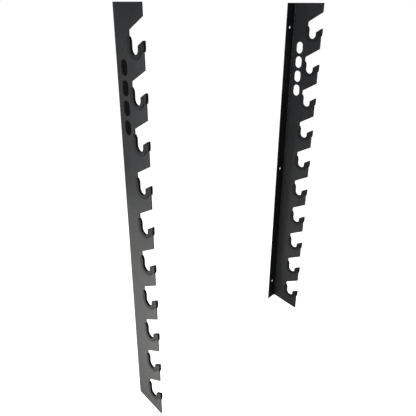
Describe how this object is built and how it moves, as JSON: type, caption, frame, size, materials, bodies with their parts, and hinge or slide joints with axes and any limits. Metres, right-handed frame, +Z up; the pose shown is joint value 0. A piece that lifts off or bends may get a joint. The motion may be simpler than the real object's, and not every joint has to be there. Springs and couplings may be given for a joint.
{
  "type": "wall cue rack",
  "caption": "Two mirrored black steel wall rails with open J-shaped hooks in soft moulded liners, for laying cues or bars level across both rails.",
  "frame": {"origin": "centre of the rectangle of the four corner screw holes, on the wall plane that both flanges lie against", "axes": "+X to the right along the wall, +Y into the wall, +Z up"},
  "size_m": [0.799, 0.1258, 1.3039],
  "materials": {
    "powder_coat": "satin black powder coat, fine orange peel",
    "liner": "matt black moulded plastic, fine spark texture"
  },
  "bodies": {
    "root": {"left_rail": "powder_coat", "left_liner_01": "liner", "left_liner_02": "liner", "left_liner_03": "liner", "left_liner_04": "liner", "left_liner_05": "liner", "left_liner_06": "liner", "left_liner_07": "liner", "left_liner_08": "liner", "left_liner_09": "liner", "left_liner_10": "liner", "right_rail": "powder_coat", "right_liner_01": "liner", "right_liner_02": "liner", "right_liner_03": "liner", "right_liner_04": "liner", "right_liner_05": "liner", "right_liner_06": "liner", "right_liner_07": "liner", "right_liner_08": "liner", "right_liner_09": "liner", "right_liner_10": "liner"}
  },
  "joints": []
}
